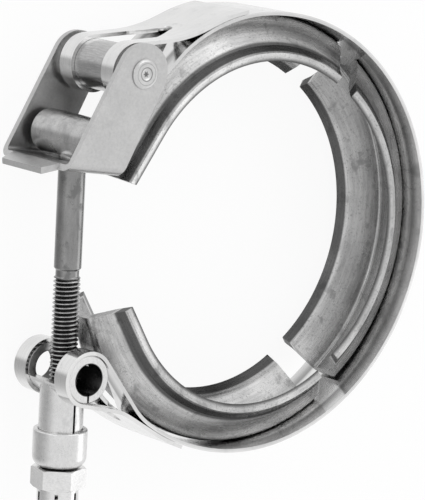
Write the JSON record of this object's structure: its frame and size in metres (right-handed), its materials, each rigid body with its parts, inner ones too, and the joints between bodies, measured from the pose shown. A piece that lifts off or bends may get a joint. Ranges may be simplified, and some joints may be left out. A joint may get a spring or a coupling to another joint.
{
  "type": "v_band_clamp",
  "caption": "Quick release V band clamp: polished steel strap with looped ends, three pressed V segments, swinging latch, T-bolt in a rolled trunnion and a slotted lock nut",
  "frame": {"origin": "the centre of the clamp's ring, halfway across the band; the T-bolt runs along Y on the -X side", "axes": "+Z along the ring's axis, +Y along the T-bolt towards its head, +X from the T-bolt towards the ring's centre"},
  "size_m": [0.1433, 0.1459, 0.035],
  "materials": {
    "polished_strap": "polished stainless strap with fine lengthwise grain",
    "pressed_steel": "pressed stainless sheet, speckled flanks and dull lips",
    "satin_sheet": "tumbled satin stainless sheet",
    "turned_steel": "turned and rolled stainless, a little stained"
  },
  "bodies": {
    "strap": {"band": "polished_strap", "v_segment_upper": "pressed_steel", "v_segment_right": "pressed_steel", "v_segment_lower": "pressed_steel"},
    "latch": {"latch_plate": "satin_sheet", "pivot_sleeve": "polished_strap", "pivot_rivet": "satin_sheet"},
    "trunnion_body": {"trunnion": "satin_sheet", "ferrule": "satin_sheet"},
    "bolt": {"t_bolt": "turned_steel"},
    "nut": {"lock_nut": "turned_steel"}
  },
  "joints": [
    {"name": "latch_swing", "type": "hinge", "parent": "strap", "child": "latch", "pos_m": [-0.04815, 0.04975, 0], "axis": [0, 0, 1], "range_deg": [-110, 0]},
    {"name": "trunnion_swing", "type": "hinge", "parent": "strap", "child": "trunnion_body", "pos_m": [-0.0598, -0.0378, 0], "axis": [0, 0, 1], "range_deg": [0, 0.5]},
    {"name": "bolt_slide", "type": "slide", "parent": "trunnion_body", "child": "bolt", "axis": [0, 1, 0], "range_m": [-0.0003, 0.008]},
    {"name": "nut_spin", "type": "hinge", "parent": "trunnion_body", "child": "nut", "pos_m": [-0.0598, -0.0705, 0], "axis": [0, -1, 0], "range_deg": [-86.4, 2304]}
  ],
  "couplings": [
    {"joint": "nut_spin", "follows": "bolt_slide", "rad_per_m": 5026.5}
  ]
}
